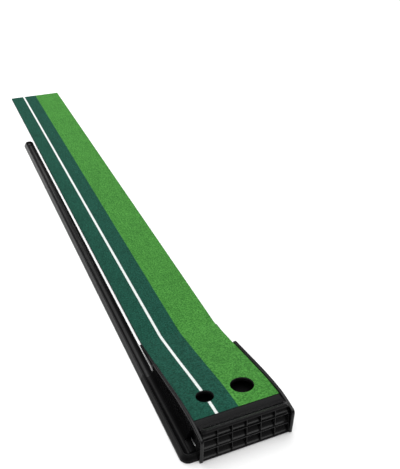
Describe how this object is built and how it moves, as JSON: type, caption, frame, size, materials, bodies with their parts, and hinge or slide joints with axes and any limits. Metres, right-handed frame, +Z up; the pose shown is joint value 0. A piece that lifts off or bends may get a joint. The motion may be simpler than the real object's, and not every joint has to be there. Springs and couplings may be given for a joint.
{
  "type": "practice putting mat",
  "caption": "Long two-tone putting turf that climbs a moulded ramp with holes and a raised backstop, with a gravity ball return along a side gutter and track.",
  "frame": {"origin": "middle of the footprint, on the floor", "axes": "+Z up, +Y along the turf from the player towards the holes, +X towards the side with the ball return"},
  "size_m": [0.3754, 3.0836, 0.1194],
  "materials": {
    "turf": "short dense pile, light green on one half and dark teal green on the other, with one white putting line",
    "black_plastic": "moulded, semi-gloss",
    "dark_plastic": "moulded, satin",
    "foot_rubber": "matt",
    "hook_fabric": "hook tape, matt",
    "screw_steel": "zinc plated"
  },
  "bodies": {
    "base": {"ramp_wall_return": "black_plastic", "ramp_wall_far": "black_plastic", "ramp_deck_plate": "black_plastic", "ramp_deck_ribs": "black_plastic", "front_ramp": "black_plastic", "backstop": "black_plastic", "ball_tray": "dark_plastic", "return_gutter": "black_plastic", "gutter_bend": "black_plastic", "hook_strip_rear": "hook_fabric", "hook_strip_front": "hook_fabric", "foot_front_return_side": "foot_rubber", "foot_rear_return_side": "foot_rubber", "foot_front_far_side": "foot_rubber", "foot_rear_far_side": "foot_rubber", "tray_screw_01": "screw_steel", "tray_screw_02": "screw_steel", "gutter_screw_01": "screw_steel", "gutter_screw_02": "screw_steel", "gutter_screw_03": "screw_steel", "turf_ramp": "turf", "turf_climb": "turf"},
    "turf_01": {"turf_01": "turf"},
    "turf_02": {"turf_02": "turf"},
    "turf_03": {"turf_03": "turf"},
    "turf_04": {"turf_04": "turf"},
    "turf_05": {"turf_05": "turf"},
    "turf_06": {"turf_06": "turf"},
    "turf_07": {"turf_07": "turf"},
    "turf_08": {"turf_08": "turf"},
    "turf_09": {"turf_09": "turf"},
    "turf_10": {"turf_10": "turf"},
    "turf_11": {"turf_11": "turf"},
    "turf_12": {"turf_12": "turf"},
    "turf_13": {"turf_13": "turf"},
    "turf_14": {"turf_14": "turf"},
    "turf_15": {"turf_15": "turf"},
    "turf_16": {"turf_16": "turf"},
    "track_piece_01": {"track_01": "black_plastic"},
    "track_piece_02": {"track_02": "black_plastic"},
    "track_piece_03": {"track_03": "black_plastic"},
    "track_piece_04": {"track_04": "black_plastic"},
    "track_piece_05": {"track_05": "black_plastic"},
    "track_piece_06": {"track_06": "black_plastic"},
    "track_piece_07": {"track_07": "black_plastic", "track_end_stop": "black_plastic"}
  },
  "joints": [
    {"name": "mat_fold_01", "type": "hinge", "parent": "base", "child": "turf_01", "pos_m": [-0.02575, 0.94785, 0.019], "axis": [-1, 0, 0], "range_deg": [0, 80]},
    {"name": "mat_fold_02", "type": "hinge", "parent": "turf_01", "child": "turf_02", "pos_m": [-0.02575, 0.79222, -0.012], "axis": [-1, 0, 0], "range_deg": [-160, 0]},
    {"name": "mat_fold_03", "type": "hinge", "parent": "turf_02", "child": "turf_03", "pos_m": [-0.02575, 0.6366, 0.019], "axis": [-1, 0, 0], "range_deg": [0, 160]},
    {"name": "mat_fold_04", "type": "hinge", "parent": "turf_03", "child": "turf_04", "pos_m": [-0.02575, 0.48097, -0.012], "axis": [-1, 0, 0], "range_deg": [-160, 0]},
    {"name": "mat_fold_05", "type": "hinge", "parent": "turf_04", "child": "turf_05", "pos_m": [-0.02575, 0.32535, 0.019], "axis": [-1, 0, 0], "range_deg": [0, 160]},
    {"name": "mat_fold_06", "type": "hinge", "parent": "turf_05", "child": "turf_06", "pos_m": [-0.02575, 0.16972, -0.012], "axis": [-1, 0, 0], "range_deg": [-160, 0]},
    {"name": "mat_fold_07", "type": "hinge", "parent": "turf_06", "child": "turf_07", "pos_m": [-0.02575, 0.0141, 0.019], "axis": [-1, 0, 0], "range_deg": [0, 160]},
    {"name": "mat_fold_08", "type": "hinge", "parent": "turf_07", "child": "turf_08", "pos_m": [-0.02575, -0.14153, -0.012], "axis": [-1, 0, 0], "range_deg": [-160, 0]},
    {"name": "mat_fold_09", "type": "hinge", "parent": "turf_08", "child": "turf_09", "pos_m": [-0.02575, -0.29715, 0.019], "axis": [-1, 0, 0], "range_deg": [0, 160]},
    {"name": "mat_fold_10", "type": "hinge", "parent": "turf_09", "child": "turf_10", "pos_m": [-0.02575, -0.45278, -0.012], "axis": [-1, 0, 0], "range_deg": [-160, 0]},
    {"name": "mat_fold_11", "type": "hinge", "parent": "turf_10", "child": "turf_11", "pos_m": [-0.02575, -0.6084, 0.019], "axis": [-1, 0, 0], "range_deg": [0, 160]},
    {"name": "mat_fold_12", "type": "hinge", "parent": "turf_11", "child": "turf_12", "pos_m": [-0.02575, -0.76403, -0.012], "axis": [-1, 0, 0], "range_deg": [-160, 0]},
    {"name": "mat_fold_13", "type": "hinge", "parent": "turf_12", "child": "turf_13", "pos_m": [-0.02575, -0.91965, 0.019], "axis": [-1, 0, 0], "range_deg": [0, 160]},
    {"name": "mat_fold_14", "type": "hinge", "parent": "turf_13", "child": "turf_14", "pos_m": [-0.02575, -1.07527, -0.012], "axis": [-1, 0, 0], "range_deg": [-160, 0]},
    {"name": "mat_fold_15", "type": "hinge", "parent": "turf_14", "child": "turf_15", "pos_m": [-0.02575, -1.2309, 0.019], "axis": [-1, 0, 0], "range_deg": [0, 160]},
    {"name": "mat_fold_16", "type": "hinge", "parent": "turf_15", "child": "turf_16", "pos_m": [-0.02575, -1.38653, -0.012], "axis": [-1, 0, 0], "range_deg": [-160, 0]},
    {"name": "track_pull_01", "type": "slide", "parent": "base", "child": "track_piece_01", "axis": [0, -1, 0], "range_m": [0, 0.04]},
    {"name": "track_pull_02", "type": "slide", "parent": "track_piece_01", "child": "track_piece_02", "axis": [0, -1, 0], "range_m": [0, 0.04]},
    {"name": "track_pull_03", "type": "slide", "parent": "track_piece_02", "child": "track_piece_03", "axis": [0, -1, 0], "range_m": [0, 0.04]},
    {"name": "track_pull_04", "type": "slide", "parent": "track_piece_03", "child": "track_piece_04", "axis": [0, -1, 0], "range_m": [0, 0.04]},
    {"name": "track_pull_05", "type": "slide", "parent": "track_piece_04", "child": "track_piece_05", "axis": [0, -1, 0], "range_m": [0, 0.04]},
    {"name": "track_pull_06", "type": "slide", "parent": "track_piece_05", "child": "track_piece_06", "axis": [0, -1, 0], "range_m": [0, 0.04]},
    {"name": "track_pull_07", "type": "slide", "parent": "track_piece_06", "child": "track_piece_07", "axis": [0, -1, 0], "range_m": [0, 0.04]}
  ],
  "couplings": [
    {"joint": "mat_fold_02", "follows": "mat_fold_01", "ratio": -2},
    {"joint": "mat_fold_03", "follows": "mat_fold_01", "ratio": 2},
    {"joint": "mat_fold_04", "follows": "mat_fold_01", "ratio": -2},
    {"joint": "mat_fold_05", "follows": "mat_fold_01", "ratio": 2},
    {"joint": "mat_fold_06", "follows": "mat_fold_01", "ratio": -2},
    {"joint": "mat_fold_07", "follows": "mat_fold_01", "ratio": 2},
    {"joint": "mat_fold_08", "follows": "mat_fold_01", "ratio": -2},
    {"joint": "mat_fold_09", "follows": "mat_fold_01", "ratio": 2},
    {"joint": "mat_fold_10", "follows": "mat_fold_01", "ratio": -2},
    {"joint": "mat_fold_11", "follows": "mat_fold_01", "ratio": 2},
    {"joint": "mat_fold_12", "follows": "mat_fold_01", "ratio": -2},
    {"joint": "mat_fold_13", "follows": "mat_fold_01", "ratio": 2},
    {"joint": "mat_fold_14", "follows": "mat_fold_01", "ratio": -2},
    {"joint": "mat_fold_15", "follows": "mat_fold_01", "ratio": 2},
    {"joint": "mat_fold_16", "follows": "mat_fold_01", "ratio": -2}
  ]
}
